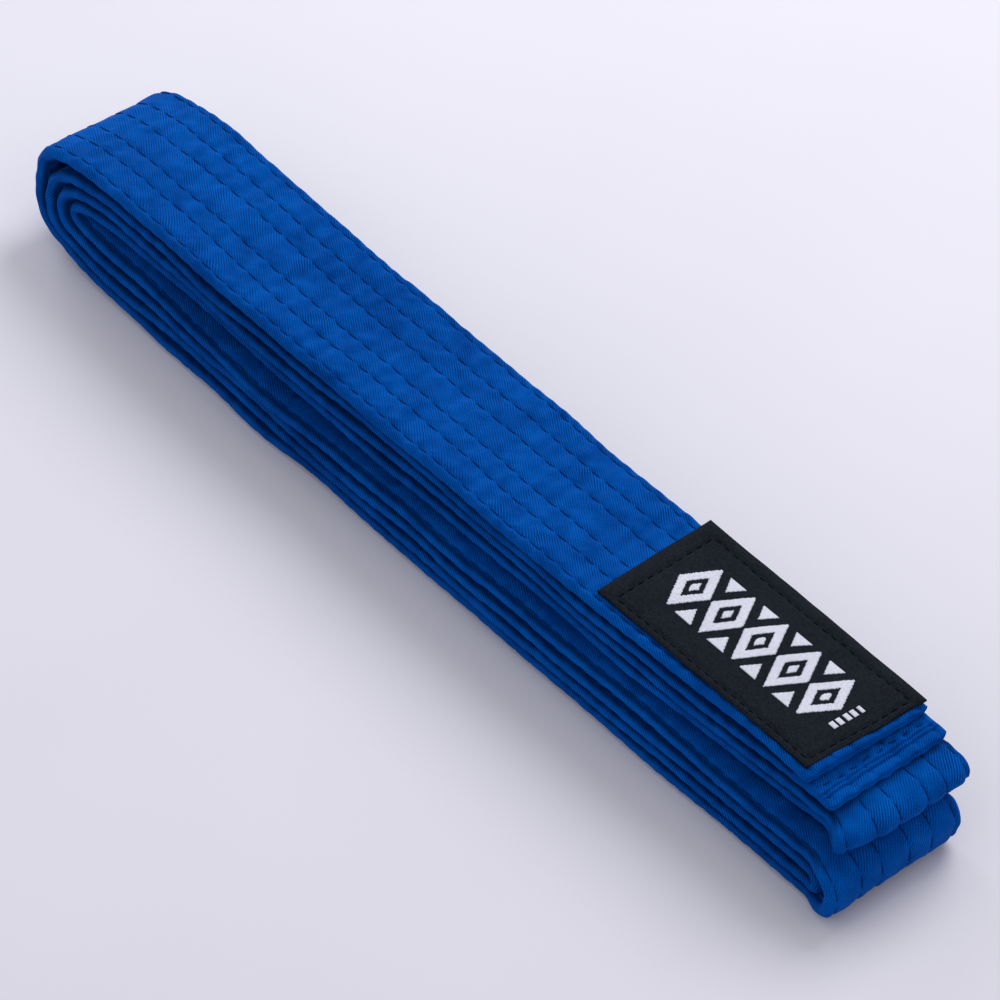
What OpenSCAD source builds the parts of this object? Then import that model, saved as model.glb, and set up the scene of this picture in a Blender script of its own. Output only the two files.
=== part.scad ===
// Martial arts belt, folded in half three times into a flat eight-layer bundle.
// Millimetres. +X runs along the bundle towards the free ends, +Z is up.
// Layers are counted from the bottom: 1 lies on the ground, 8 carries the label.

/* [Belt] */
// Width of the belt
belt_width = 40; // [36:0.5:48]
// Thickness of the padded belt between two stitch rows
belt_thickness = 4.2; // [3.8:0.1:4.6]
// Thickness of the cotton twill cover on each side
cover_thickness = 0.7; // [0.5:0.05:0.8]
// Number of stitch rows along the belt
stitch_rows = 6; // [5:1:8]
// Distance from the belt's edge to the first stitch row
edge_to_row = 2.7; // [2.5:0.1:3.2]
// Diameter of the sewing thread
thread_d = 0.5; // [0.4:0.05:0.6]

/* [Bundle] */
// Straight length of the lower layers, between their two folds
run_length = 295; // [240:1:360]
// Gap between neighbouring layers at rest
layer_gap = 0.3; // [0.3:0.05:0.5]
// Gap between the lower four layers and the upper four
halves_gap = 1.2; // [0.8:0.1:2]
// How much further the upper fold reaches than the lower run
upper_fold_reach = 3.5; // [0:0.5:5]
// How far the plain end stops short of the lower run
plain_end_setback = 3; // [0:0.5:8]
// How far the label end stops short of the lower run
label_end_setback = 11; // [8:0.5:16]

/* [Free ends] */
// Length of the part of both free ends that lifts together
free_ends_length = 154; // [140:1:170]
// Length of the label end that lifts on its own
label_end_length = 106; // [100:1:110]
// Length of the flattened hem at the plain end
hem_length = 6; // [5:0.5:8]

/* [Label] */
// Label length along the belt
label_length = 81; // [60:1:90]
// Label width across the belt
label_width = 38; // [32:0.5:38]
// Label thickness
label_thickness = 0.9; // [0.7:0.1:1.2]
// Distance from the label's edge to its border stitching
border_inset = 2.6; // [2:0.1:4]

/* [Hidden] */
$fn = 48;

// Padded cross-section
valley_t = 2.9;                    // thickness under a stitch row
crown_t = belt_thickness + 0.3;    // channel height before its top is pressed flat
edge_r = 1.7;                      // radius of the rolled edges
row_pitch = (belt_width - 2 * edge_to_row) / (stitch_rows - 1);
crown_sag = (crown_t - valley_t) / 2;
crown_r = row_pitch * row_pitch / (8 * crown_sag) + crown_sag / 2;

// Stack: each layer's mid-height
half_stack = 4 * belt_thickness + 3 * layer_gap;
split_z = half_stack + halves_gap / 2;
function layer_z(n) =
    n <= 4 ? (n - 0.5) * belt_thickness + (n - 1) * layer_gap
           : split_z + halves_gap / 2 + (n - 4.5) * belt_thickness + (n - 5) * layer_gap;

// Loops at the far end, 1 innermost: mean radius
function far_loop_r(n) = layer_z(4 + n) - split_z;

// Places along the bundle, measured from the axis of the far loops
upper_fold_x = run_length + upper_fold_reach;
plain_end_x = run_length - plain_end_setback;
label_end_x = run_length - label_end_setback;
free_ends_hinge_x = label_end_x - free_ends_length;
label_end_hinge_x = label_end_x - label_end_length;
cut = 0.3;                         // gap where two moving bodies meet end to end
far_nose = far_loop_r(4) + belt_thickness / 2;
near_nose = run_length + (layer_z(4) - layer_z(1) + belt_thickness) / 2;
centre_x = (near_nose - far_nose) / 2;

// Label seat and sewing
label_sink = 0.3;                  // depth the label is pressed into the padding
label_z = layer_z(8) + belt_thickness / 2 - label_sink;
stitch_len = 2.2;
stitch_gap = 0.9;
stitch_w = 0.5;
stitch_h = 0.3;
stitch_proud = 0.12;

// Woven lozenge band on the label
motif_count = 5;
motif_length = 62;
motif_width = 19;
motif_depth = 0.3;
lozenge_length = 0.94;            // share of its step that each lozenge fills
lozenge_hole = 0.52;
lozenge_dot = 0.22;
filler_scale = 0.5;
mark_count = 5;
mark_size = [1.3, 2.4];
mark_pitch = 2.2;
mark_from_end = 7;

cover_colour = [0.01, 0.26, 0.56];
core_colour = [0.86, 0.84, 0.78];
thread_colour = [0.01, 0.16, 0.42];
label_colour = [0.11, 0.12, 0.15];
label_thread_colour = [0.04, 0.04, 0.05];
motif_colour = [0.88, 0.88, 0.93];

// ---- Cross-sections: local X is the belt's thickness, local Y its width ----

function row_y(i) = -belt_width / 2 + edge_to_row + i * row_pitch;

// One padded channel between two stitch rows, inset from its outside
module channel(i, inset) {
    mid = (row_y(i) + row_y(i + 1)) / 2;
    intersection() {
        translate([crown_t / 2 - crown_r, mid]) circle(r = crown_r - inset);
        translate([crown_r - crown_t / 2, mid]) circle(r = crown_r - inset);
        translate([inset - belt_thickness / 2, row_y(i)])
            square([belt_thickness - 2 * inset, row_pitch]);
    }
}

// Flat bar with rolled edges, as thick as the belt is under its stitch rows
module bar_section(inset) {
    edge_y = belt_width / 2 - edge_r;
    translate([inset - valley_t / 2, -edge_y])
        square([valley_t - 2 * inset, 2 * edge_y]);
    for (side = [-1, 1])
        translate([0, side * edge_y]) circle(r = edge_r - inset);
}

// The whole padded section
module padded_section(inset) {
    bar_section(inset);
    for (i = [0 : stitch_rows - 2]) channel(i, inset);
}

// Top and bottom thread of every stitch row, lying in the valleys
module thread_section() {
    for (i = [0 : stitch_rows - 1], side = [-1, 1])
        translate([side * valley_t / 2, row_y(i)]) circle(d = thread_d);
}

module cover_section() {
    difference() {
        padded_section(0);
        padded_section(cover_thickness);
        thread_section();
    }
}

module core_section() {
    padded_section(cover_thickness);
}

// ---- Sweeps ----

// Straight run of the section from x0 to x1 at mid-height z
module run(x0, x1, z) {
    translate([x1, 0, z]) rotate([0, -90, 0]) linear_extrude(x1 - x0) children();
}

// Half-circle fold of mean radius r around (x, z), bulging towards +X or -X
module fold(x, z, r, towards) {
    translate([x, 0, z]) rotate([0, towards * 90, 0]) rotate([90, 0, 0])
        rotate_extrude(angle = 180) translate([r, 0]) children();
}

// Two runs and the fold that joins them at the near end
module folded_pair(low, high, x1) {
    z0 = layer_z(low);
    z1 = layer_z(high);
    x_low = low > 4 ? cut : 0;
    run(x_low, x1, z0) children();
    run(x_low, x1, z1) children();
    fold(x1, (z0 + z1) / 2, (z1 - z0) / 2, 1) children();
}

// Everything is drawn from the far loops' axis, then centred on the bundle
module placed(colour) {
    color(colour) translate([-centre_x, 0, 0]) children();
}

// Flattened, closed hem: the last stretch of the plain end
module hem(x0, x1, z) {
    run(x0, x1, z) bar_section(0);
}

// ---- Lower half: layers 1 to 4 ----

module Lower_Outer_Fold_Cover() {
    placed(cover_colour) folded_pair(1, 4, run_length) cover_section();
}

module Lower_Outer_Fold_Core() {
    placed(core_colour) folded_pair(1, 4, run_length) core_section();
}

module Lower_Outer_Fold_Stitching() {
    placed(thread_colour) folded_pair(1, 4, run_length) thread_section();
}

module Lower_Inner_Fold_Cover() {
    placed(cover_colour) folded_pair(2, 3, run_length) cover_section();
}

module Lower_Inner_Fold_Core() {
    placed(core_colour) folded_pair(2, 3, run_length) core_section();
}

module Lower_Inner_Fold_Stitching() {
    placed(thread_colour) folded_pair(2, 3, run_length) thread_section();
}

// ---- Far loops: the four nested turns between the lower and the upper half ----

module far_loop(n) {
    fold(0, split_z, far_loop_r(n), -1) children();
}

module Far_Loop_1_Cover() {
    placed(cover_colour) far_loop(1) cover_section();
}

module Far_Loop_1_Core() {
    placed(core_colour) far_loop(1) core_section();
}

module Far_Loop_1_Stitching() {
    placed(thread_colour) far_loop(1) thread_section();
}

module Far_Loop_2_Cover() {
    placed(cover_colour) far_loop(2) cover_section();
}

module Far_Loop_2_Core() {
    placed(core_colour) far_loop(2) core_section();
}

module Far_Loop_2_Stitching() {
    placed(thread_colour) far_loop(2) thread_section();
}

module Far_Loop_3_Cover() {
    placed(cover_colour) far_loop(3) cover_section();
}

module Far_Loop_3_Core() {
    placed(core_colour) far_loop(3) core_section();
}

module Far_Loop_3_Stitching() {
    placed(thread_colour) far_loop(3) thread_section();
}

module Far_Loop_4_Cover() {
    placed(cover_colour) far_loop(4) cover_section();
}

module Far_Loop_4_Core() {
    placed(core_colour) far_loop(4) core_section();
}

module Far_Loop_4_Stitching() {
    placed(thread_colour) far_loop(4) thread_section();
}

// ---- Upper half: layers 5 and 6, and the fixed stretches of 7 and 8 ----

module Upper_Fold_Cover() {
    placed(cover_colour) folded_pair(5, 6, upper_fold_x) cover_section();
}

module Upper_Fold_Core() {
    placed(core_colour) folded_pair(5, 6, upper_fold_x) core_section();
}

module Upper_Fold_Stitching() {
    placed(thread_colour) folded_pair(5, 6, upper_fold_x) thread_section();
}

module fixed_stretch(n) {
    run(cut, free_ends_hinge_x, layer_z(n)) children();
}

module Plain_Layer_Cover() {
    placed(cover_colour) fixed_stretch(7) cover_section();
}

module Plain_Layer_Core() {
    placed(core_colour) fixed_stretch(7) core_section();
}

module Plain_Layer_Stitching() {
    placed(thread_colour) fixed_stretch(7) thread_section();
}

module Label_Layer_Cover() {
    placed(cover_colour) fixed_stretch(8) cover_section();
}

module Label_Layer_Core() {
    placed(core_colour) fixed_stretch(8) core_section();
}

module Label_Layer_Stitching() {
    placed(thread_colour) fixed_stretch(8) thread_section();
}

// ---- Free ends: the plain end under the label end ----

hem_x = plain_end_x - hem_length;
plain_start_x = free_ends_hinge_x + cut;

// Thread across the belt, on both faces of the hem
module hem_threads() {
    reach = belt_width / 2 - edge_r;
    for (side = [-1, 1])
        translate([hem_x + hem_length / 2, reach, layer_z(7) + side * valley_t / 2])
            rotate([90, 0, 0]) cylinder(d = thread_d, h = 2 * reach);
}

module Plain_End_Cover() {
    placed(cover_colour) {
        run(plain_start_x, hem_x, layer_z(7)) cover_section();
        difference() {
            hem(hem_x, plain_end_x, layer_z(7));
            hem_threads();
        }
    }
}

module Plain_End_Core() {
    placed(core_colour) run(plain_start_x, hem_x, layer_z(7)) core_section();
}

module Plain_End_Stitching() {
    placed(thread_colour) run(plain_start_x, hem_x, layer_z(7)) thread_section();
}

module Plain_End_Hem_Stitching() {
    placed(thread_colour) hem_threads();
}

module middle_stretch() {
    run(plain_start_x, label_end_hinge_x, layer_z(8)) children();
}

module Label_Middle_Cover() {
    placed(cover_colour) middle_stretch() cover_section();
}

module Label_Middle_Core() {
    placed(core_colour) middle_stretch() core_section();
}

module Label_Middle_Stitching() {
    placed(thread_colour) middle_stretch() thread_section();
}

// ---- Label end ----

label_start_x = label_end_hinge_x + cut;
label_core_end_x = label_end_x - cover_thickness;

module label_blank() {
    translate([label_end_x - label_length, -label_width / 2, label_z])
        cube([label_length, label_width, label_thickness]);
}

module Label_End_Cover() {
    placed(cover_colour) difference() {
        union() {
            run(label_start_x, label_core_end_x, layer_z(8)) cover_section();
            run(label_core_end_x, label_end_x, layer_z(8)) padded_section(0);
        }
        label_blank();
    }
}

module Label_End_Core() {
    placed(core_colour) run(label_start_x, label_core_end_x, layer_z(8)) core_section();
}

module Label_End_Stitching() {
    placed(thread_colour) run(label_start_x, label_core_end_x, layer_z(8)) thread_section();
}

// One straight row of stitches of the given length, along +X from the origin
module stitch_row(length) {
    count = floor((length + stitch_gap) / (stitch_len + stitch_gap));
    step = (length - stitch_len) / (count - 1);
    for (i = [0 : count - 1])
        translate([i * step, -stitch_w / 2, 0]) cube([stitch_len, stitch_w, stitch_h]);
}

// Border sewing, set back a little at each corner so that rows don't cross
module border_stitches() {
    long_side = label_length - 2 * border_inset;
    short_side = label_width - 2 * border_inset;
    top = label_z + label_thickness - stitch_h + stitch_proud;
    corner = stitch_gap;
    translate([label_end_x - label_length / 2, 0, top]) {
        for (side = [-1, 1]) {
            translate([-long_side / 2, side * short_side / 2, 0])
                stitch_row(long_side);
            translate([side * long_side / 2, corner - short_side / 2, 0])
                rotate([0, 0, 90]) stitch_row(short_side - 2 * corner);
        }
    }
}

module lozenge(size) {
    polygon([[-size[0] / 2, 0], [0, -size[1] / 2], [size[0] / 2, 0], [0, size[1] / 2]]);
}

// Band of lozenges with small triangles between them along both edges
module motif_outline() {
    step = motif_length / motif_count;
    size = [step * lozenge_length, motif_width];
    for (i = [0 : motif_count - 1])
        translate([(i + 0.5) * step - motif_length / 2, 0]) {
            difference() {
                lozenge(size);
                lozenge(size * lozenge_hole);
            }
            lozenge(size * lozenge_dot);
        }
    for (i = [1 : motif_count - 1], side = [-1, 1])
        translate([i * step - motif_length / 2, side * motif_width / 2])
            polygon([
                [-step / 2 * filler_scale, 0],
                [step / 2 * filler_scale, 0],
                [0, -side * motif_width / 2 * filler_scale]
            ]);
}

module motif_solid() {
    translate([label_end_x - label_length / 2, 0, label_z + label_thickness - motif_depth])
        linear_extrude(motif_depth) motif_outline();
}

// Row of small bars across the label near its end
module size_mark_solid() {
    translate([label_end_x - mark_from_end, 0, label_z + label_thickness - motif_depth])
        for (i = [0 : mark_count - 1])
            translate([-mark_size[1] / 2, (i - 0.5 * mark_count) * mark_pitch, 0])
                cube([mark_size[1], mark_size[0], motif_depth]);
}

module Woven_Label() {
    placed(label_colour) difference() {
        label_blank();
        border_stitches();
        motif_solid();
        size_mark_solid();
    }
}

module Label_Border_Stitching() {
    placed(label_thread_colour) border_stitches();
}

module Label_Motif() {
    placed(motif_colour) motif_solid();
}

module Label_Size_Mark() {
    placed(motif_colour) size_mark_solid();
}

Lower_Outer_Fold_Cover();
Lower_Outer_Fold_Core();
Lower_Outer_Fold_Stitching();
Lower_Inner_Fold_Cover();
Lower_Inner_Fold_Core();
Lower_Inner_Fold_Stitching();
Far_Loop_1_Cover();
Far_Loop_1_Core();
Far_Loop_1_Stitching();
Far_Loop_2_Cover();
Far_Loop_2_Core();
Far_Loop_2_Stitching();
Far_Loop_3_Cover();
Far_Loop_3_Core();
Far_Loop_3_Stitching();
Far_Loop_4_Cover();
Far_Loop_4_Core();
Far_Loop_4_Stitching();
Upper_Fold_Cover();
Upper_Fold_Core();
Upper_Fold_Stitching();
Plain_Layer_Cover();
Plain_Layer_Core();
Plain_Layer_Stitching();
Label_Layer_Cover();
Label_Layer_Core();
Label_Layer_Stitching();
Plain_End_Cover();
Plain_End_Core();
Plain_End_Stitching();
Plain_End_Hem_Stitching();
Label_Middle_Cover();
Label_Middle_Core();
Label_Middle_Stitching();
Label_End_Cover();
Label_End_Core();
Label_End_Stitching();
Woven_Label();
Label_Border_Stitching();
Label_Motif();
Label_Size_Mark();
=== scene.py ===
import math

import bpy
import numpy as np
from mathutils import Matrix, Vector


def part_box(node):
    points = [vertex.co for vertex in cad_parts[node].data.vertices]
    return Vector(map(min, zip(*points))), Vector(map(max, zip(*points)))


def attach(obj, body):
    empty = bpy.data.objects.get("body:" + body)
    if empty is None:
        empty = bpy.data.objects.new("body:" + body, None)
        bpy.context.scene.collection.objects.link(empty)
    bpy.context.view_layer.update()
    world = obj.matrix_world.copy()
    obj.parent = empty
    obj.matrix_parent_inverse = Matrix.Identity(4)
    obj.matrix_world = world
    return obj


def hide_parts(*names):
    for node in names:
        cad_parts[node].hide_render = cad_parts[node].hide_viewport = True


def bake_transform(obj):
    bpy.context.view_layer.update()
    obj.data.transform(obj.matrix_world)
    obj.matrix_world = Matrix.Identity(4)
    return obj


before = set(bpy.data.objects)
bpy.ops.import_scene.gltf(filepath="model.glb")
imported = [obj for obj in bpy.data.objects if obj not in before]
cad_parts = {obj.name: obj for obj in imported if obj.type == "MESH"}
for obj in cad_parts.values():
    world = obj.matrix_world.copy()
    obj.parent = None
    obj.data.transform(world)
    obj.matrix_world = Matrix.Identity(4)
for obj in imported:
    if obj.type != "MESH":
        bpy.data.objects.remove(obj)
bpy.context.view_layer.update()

# ------------------------ frame, in mm
# All shapes are worked out in mm. x is measured from the axis of the far loops.
MM = 0.001
TURN = 2 * math.pi
FAR_NOSE_RADIUS = 18.3  # outer loop's nose ahead of that axis
AXIS_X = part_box("Far_Loop_4_Cover")[0].x / MM + FAR_NOSE_RADIUS


def from_axis(metres):
    return metres / MM - AXIS_X


def to_world(x, y, z):
    return Vector(((x + AXIS_X) * MM, y * MM, z * MM))


NEAR_NOSE_X = from_axis(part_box("Lower_Outer_Fold_Cover")[1].x)
PLAIN_END_X = from_axis(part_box("Plain_End_Cover")[1].x)
LABEL_END_X = from_axis(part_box("Label_End_Cover")[1].x)
LIFT_X = from_axis(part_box("Plain_End_Cover")[0].x)
LABEL_LIFT_X = from_axis(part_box("Label_End_Cover")[0].x)
LABEL_LO, LABEL_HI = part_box("Woven_Label")

# ------------------------ belt's sizes
WIDTH = 40.0
EDGE = 2.3  # radius of the rolled edge
ROWS = np.array([-17.5, -10.6, -4.6, 4.1, 10.6, 17.6])
STITCH_PITCH = 5.5
STITCH_LENGTH = 4.6
GROUP_SHIFT = 1.5  # upper layers sit this far to +Y, lower to -Y
LOOP_CUT_X = 14.0  # where the far loops join the straight runs
FAR_SKEW = 0.1  # far folds lie slightly askew
FAR_SKEW_X, FAR_SKEW_OVER = 26.0, 34.0
END_SKEW, END_SKEW_LENGTH = 0.035, 30.0  # and so does the label's end of the belt
LABEL_SKEW = 0.07
FLOOR_GAP = 0.03
ROW_STEP = 0.92  # mesh rows along a long stretch of belt
FINE_STEP = 0.7  # and along a short one
HEM_FINE, HEM_STEP_LENGTH = 7.0, 0.2  # length at a free end with finer rows still
TONGUE, TONGUE_INSET = 0.7, 0.05
PERIMETER = 88.0  # unrolled cover, once round the belt

# Height of each layer's middle, lowest layer first
FAR_Z = (2.1, 6.55, 11.1, 15.75, 21.6, 25.7, 30.0, 34.4)
MIDDLE_Z = (2.15, 6.6, 11.2, 15.75, 22.2, 26.25, 30.35, 34.6)
NEAR_Z = (1.95, 6.5, 11.2, 15.9, 21.2, 26.5, 30.8, 35.0)
# Where each layer starts to settle to its height at the near end, and where all have
SETTLE_X = (236, 236, 236, 236, 258, 240, 240, 240)
SETTLED_X = 296.0
FAR_X, FAR_SETTLE = 60.0, 45.0  # the far end's heights hold below FAR_X, eased in
WAVE_X, WAVE_EASE = (20.0, 280.0), 30.0  # layers wave up and down only between these
GROUP_WAVE, LAYER_WAVE = (0.35, 130), (0.1, 55)  # height and size of a ripple

# Cross seam of the plain end's hem
HEM_SETBACK = 5.2
HEM_STITCHES = 8
HEM_SPAN = WIDTH - 5
HEM_PITCH = HEM_SPAN / HEM_STITCHES
HEM_FOLDS = (3.3, 1.8)  # edges of the turned-in cloth, from the end
HEM_SEAM, HEM_SEAM_HALF = 0.7, 0.9  # depth and half width of the groove at the seam
GATHERED, GATHER = 0.75, 0.5  # share of that depth, and its change along a stitch
HEM_WRINKLE, HEM_WRINKLED = (0.2, 4.5), 14.0
HEM_STEP, HEM_STEP_OVER = 0.12, 0.3  # step down at each fold, and its groove
HEM_GROOVE, HEM_GROOVE_HALF = 1.1, 0.36
HEM_UNDER = 0.3  # share of those on the underside
LABEL_END_DROP, LABEL_END_ROUND = 0.35, 1.4
PRESSED, PRESSED_TO = 0.22, 83.0  # padding pressed under the label, this far along


def smooth(t):
    t = np.clip(t, 0, 1)
    return t * t * (3 - 2 * t)


RIPPLES = 7  # waves that make up one ripple


def ripple(seed, s, y, height, size):
    """Smooth noise of about the given height, with waves of about the given size."""
    rng = np.random.default_rng(seed)
    total = 0.0
    for _ in range(RIPPLES):
        angle = rng.uniform(0, math.pi)
        k = TURN / (size * rng.uniform(0.7, 1.5))
        phase = rng.uniform(0, TURN)
        total = total + np.sin(k * (s * math.cos(angle) + y * math.sin(angle)) + phase)
    return height * total / math.sqrt(RIPPLES)


def layer_z(layer, x):
    """Height of a layer's middle line at x, layers counted from 1 at the floor."""
    i = layer - 1
    far = smooth((FAR_X - x) / FAR_SETTLE)
    near = smooth((x - SETTLE_X[i]) / (SETTLED_X - SETTLE_X[i]))
    z = MIDDLE_Z[i] + (FAR_Z[i] - MIDDLE_Z[i]) * far + (NEAR_Z[i] - MIDDLE_Z[i]) * near
    inside = smooth((x - WAVE_X[0]) / WAVE_EASE) * smooth((WAVE_X[1] - x) / WAVE_EASE)
    group = ripple(5, x, 0, *GROUP_WAVE) if layer > 4 else 0
    return z + inside * (group + ripple(10 + layer, x, 0, *LAYER_WAVE))


def run(layer, x0, x1, step=2.0):
    """Points of a layer's middle line from x0 to x1."""
    x = np.linspace(x0, x1, max(2, int(abs(x1 - x0) / step)))
    return np.column_stack([x, layer_z(layer, x)])


FOLD_TURN = 84  # degrees each way that a near fold's nose spans


def near_fold(low, high, nose_x, radius_x, boxy, lean=0.0):
    """Points round a fold at the near end, from the lower layer up to the higher."""
    z0, z1 = NEAR_Z[low - 1], NEAR_Z[high - 1]
    angle = np.radians(np.linspace(-FOLD_TURN, FOLD_TURN, 29))
    x = nose_x - radius_x + radius_x * np.cos(angle) ** boxy
    z = (z0 + z1) / 2 + (z1 - z0) / 2 * np.sin(angle)
    return np.column_stack([x + lean * (z - z1), z])


# Points down each far loop from its upper layer to its lower one
FAR_LOOPS = {
    4: [(6, 33.5), (-2, 32.3), (-8.5, 31.0), (-13.2, 29.3), (-15.8, 26.6), (-16.5, 23),
        (-16.5, 18), (-15.9, 12.8), (-13.8, 8.6), (-10.2, 6.0), (-4, 4.4), (4.4, 3.0)],
    3: [(6, 29.2), (-1, 28.0), (-6.4, 26.2), (-9.9, 23.3), (-11.2, 19.4), (-11.0, 15.2),
        (-9.6, 11.3), (-6.6, 9.1), (-2, 8.1), (5, 7.3)],
    2: [(6, 25.0), (0, 24.0), (-4.4, 22.2), (-6.7, 19.6), (-7.0, 16.8), (-5.7, 14.1),
        (-2.6, 12.5), (5, 11.8)],
    1: [(7, 21.0), (2.4, 20.5), (-1.0, 19.5), (-2.4, 17.9), (-1.7, 16.4), (1.5, 15.7),
        (7, 15.8)],
}
NOSE_Z = {4: 20.0, 3: 19.0, 2: 18.2, 1: 18.0}

a_loop = near_fold(5, 6, NEAR_NOSE_X - 3.1, 4.7, 0.8)
b_outer = near_fold(1, 4, NEAR_NOSE_X - 1.4, 6.2, 0.8, lean=0.12)
b_inner = near_fold(2, 3, NEAR_NOSE_X - 9.0, 2.1, 0.9)
far = {k: np.array(v, float) for k, v in FAR_LOOPS.items()}
guide = np.vstack([
    run(8, LABEL_END_X, 14), far[4], run(1, 14, 290),
    b_outer, run(4, 290, 14), far[1][::-1], run(5, 13, 289),
    a_loop, run(6, 289, 13), far[2], run(3, 13, 288),
    b_inner[::-1], run(2, 288, 13), far[3][::-1], run(7, 12, PLAIN_END_X),
])


def spline(points, per=12):
    """Catmull-Rom curve through the points."""
    p = np.vstack([2 * points[0] - points[1], points, 2 * points[-1] - points[-2]])
    t = np.linspace(0, 1, per, endpoint=False)[:, None]
    out = []
    for a, b, c, d in zip(p[:-3], p[1:-2], p[2:-1], p[3:]):
        # knots spaced by the root of the distance, so uneven points don't overshoot
        k1, k2, k3 = (math.sqrt(math.dist(*e)) for e in ((a, b), (b, c), (c, d)))
        m1 = (c - b) + k2 * ((b - a) / k1 - (c - a) / (k1 + k2))
        m2 = (c - b) + k2 * ((d - c) / k3 - (d - b) / (k2 + k3))
        out.append((2 * t**3 - 3 * t**2 + 1) * b + (t**3 - 2 * t**2 + t) * m1
                   + (3 * t**2 - 2 * t**3) * c + (t**3 - t**2) * m2)
    return np.vstack(out + [points[-1:]])


def blur(values, sigma):
    """Gaussian smoothing over samples, ends held."""
    n = int(4 * sigma)
    kernel = np.exp(-0.5 * (np.arange(-n, n + 1) / sigma) ** 2)
    padded = np.pad(values, n, mode="reflect", reflect_type="odd")
    return np.convolve(padded, kernel / kernel.sum(), mode="valid")


DENSE = 0.2  # mm between samples of the path
PATH_BLUR, BEND_BLUR, SHIFT_BLUR, HALF_BLUR = 4, 5, 50, 20  # in samples
curve = spline(guide)
length = np.concatenate([[0], np.cumsum(np.hypot(*np.diff(curve, axis=0).T))])
samples = int(length[-1] / DENSE)
even = np.linspace(0, length[-1], samples)
path_x = blur(np.interp(even, length, curve[:, 0]), PATH_BLUR)
path_z = blur(np.interp(even, length, curve[:, 1]), PATH_BLUR)
step = np.hypot(np.diff(path_x), np.diff(path_z))
path_s = np.concatenate([[0], np.cumsum(step)])
BELT_LENGTH = path_s[-1]
tangent_x, tangent_z = np.gradient(path_x, path_s), np.gradient(path_z, path_s)
norm = np.hypot(tangent_x, tangent_z)
tangent_x, tangent_z = tangent_x / norm, tangent_z / norm
bend = blur(tangent_x * np.gradient(tangent_z, path_s)
            - tangent_z * np.gradient(tangent_x, path_s), BEND_BLUR)


# Cuts of the whole path into the model's pieces, in order from the label's end
def cut_at(x):
    """Distances along the belt at which its middle line passes x."""
    i = np.nonzero(np.diff(np.sign(path_x - x)))[0]
    share = (x - path_x[i]) / (path_x[i + 1] - path_x[i])
    return path_s[i] + share * (path_s[i + 1] - path_s[i])


loop_cuts = cut_at(LOOP_CUT_X)  # out and back in for each far loop in turn
LOOP_ORDER = (4, 1, 2, 3)  # far loops in the order the belt runs through them


def greatest(s0, s1, values):
    """Where between two places along the belt the path's values are greatest."""
    inside = (path_s > s0) & (path_s < s1)
    return path_s[np.argmax(np.where(inside, values, -1e9))]


noses = [greatest(s0, s1, -np.abs(path_z - NOSE_Z[loop]))
         for s0, s1, loop in zip(loop_cuts[::2], loop_cuts[1::2], LOOP_ORDER)]
label_cut = cut_at(LABEL_LIFT_X)[0]
upper_fold_nose = greatest(*loop_cuts[3:5], path_x)
lower_fold_nose = greatest(*loop_cuts[1:3], path_x)

# Sideways place of the belt along its length: the lower and upper groups are offset
is_lower = np.zeros(samples, bool)
for s0, s1 in ((noses[0], noses[1]), (noses[2], noses[3])):
    is_lower |= (path_s > s0) & (path_s < s1)
# and the middle of the bundle bows to -Y. Each bow has an amount, a start and a length.
LOWER_OFFSET = -0.6
LOWER_BOW, LOWER_RETURN = (-2.3, 30, 60), (0.9, 230, 60)
UPPER_BOW, UPPER_BOW_START, UPPER_BOW_END = -1.4, (35, 35), (262, 50)
FOLD_SHIFT, FOLD_SHIFT_REACH, FOLD_SHIFT_EASE = 1.8, 45, 40  # upper near fold, to +Y
SLOW_WANDER, QUICK_WANDER = (0.45, 160), (0.22, 42)


def bow(x, amount, start, over):
    return amount * smooth((x - start) / over)


side_shift = blur(np.where(is_lower, -GROUP_SHIFT, GROUP_SHIFT), SHIFT_BLUR)
lower_drift = LOWER_OFFSET + bow(path_x, *LOWER_BOW) + bow(path_x, *LOWER_RETURN)
upper_drift = (bow(path_x, UPPER_BOW, *UPPER_BOW_START)
               * smooth((UPPER_BOW_END[0] - path_x) / UPPER_BOW_END[1]))
side_shift = side_shift + blur(np.where(is_lower, lower_drift, upper_drift), SHIFT_BLUR)
side_shift = side_shift + FOLD_SHIFT * smooth(
    (FOLD_SHIFT_REACH - np.abs(path_s - upper_fold_nose)) / FOLD_SHIFT_EASE)
side_shift = (side_shift + ripple(31, path_s, 0, *SLOW_WANDER)
              + ripple(32, path_s, 0, *QUICK_WANDER))

# The near folds splay at their noses: this much past the -Y edge and past the +Y edge
FLARE_FROM, FLARE_OVER = 14.0, 12.0
LOWER_FLARE, UPPER_FLARE, RIGHT_FLARE = 3.0, 5.2, 2.8
near_tip = smooth((path_x - NEAR_NOSE_X + FLARE_FROM) / FLARE_OVER)
near_tip = near_tip * ((path_s > noses[0]) & (path_s < noses[3]))
flare_left = np.where(is_lower, LOWER_FLARE, UPPER_FLARE) * near_tip
flare_right = np.where(is_lower, RIGHT_FLARE, 0.0) * near_tip

LOWER_HALF, UPPER_HALF, TOP_LAYER_EXTRA = 2.12, 2.0, 0.06  # half thickness of the layers
half_base = np.where(is_lower, LOWER_HALF, UPPER_HALF)
half_base = blur(half_base + np.where(path_s < noses[0], TOP_LAYER_EXTRA, 0.0), HALF_BLUR)


def along(s, values):
    return np.interp(s, path_s, values)


PHASE_SLANT = 0.018  # stitches of neighbouring rows are a little out of step
SLOW_UNEVEN, QUICK_UNEVEN = (0.22, 60), (0.10, 25)
ROW_STRENGTH = np.array([1.1, 0.8, 0.85, 0.85, 0.85, 1.6])
ROW_WANDER = (0.22, 90)
ROW_REACH = 1.8  # the mesh beside a row wanders with it


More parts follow.
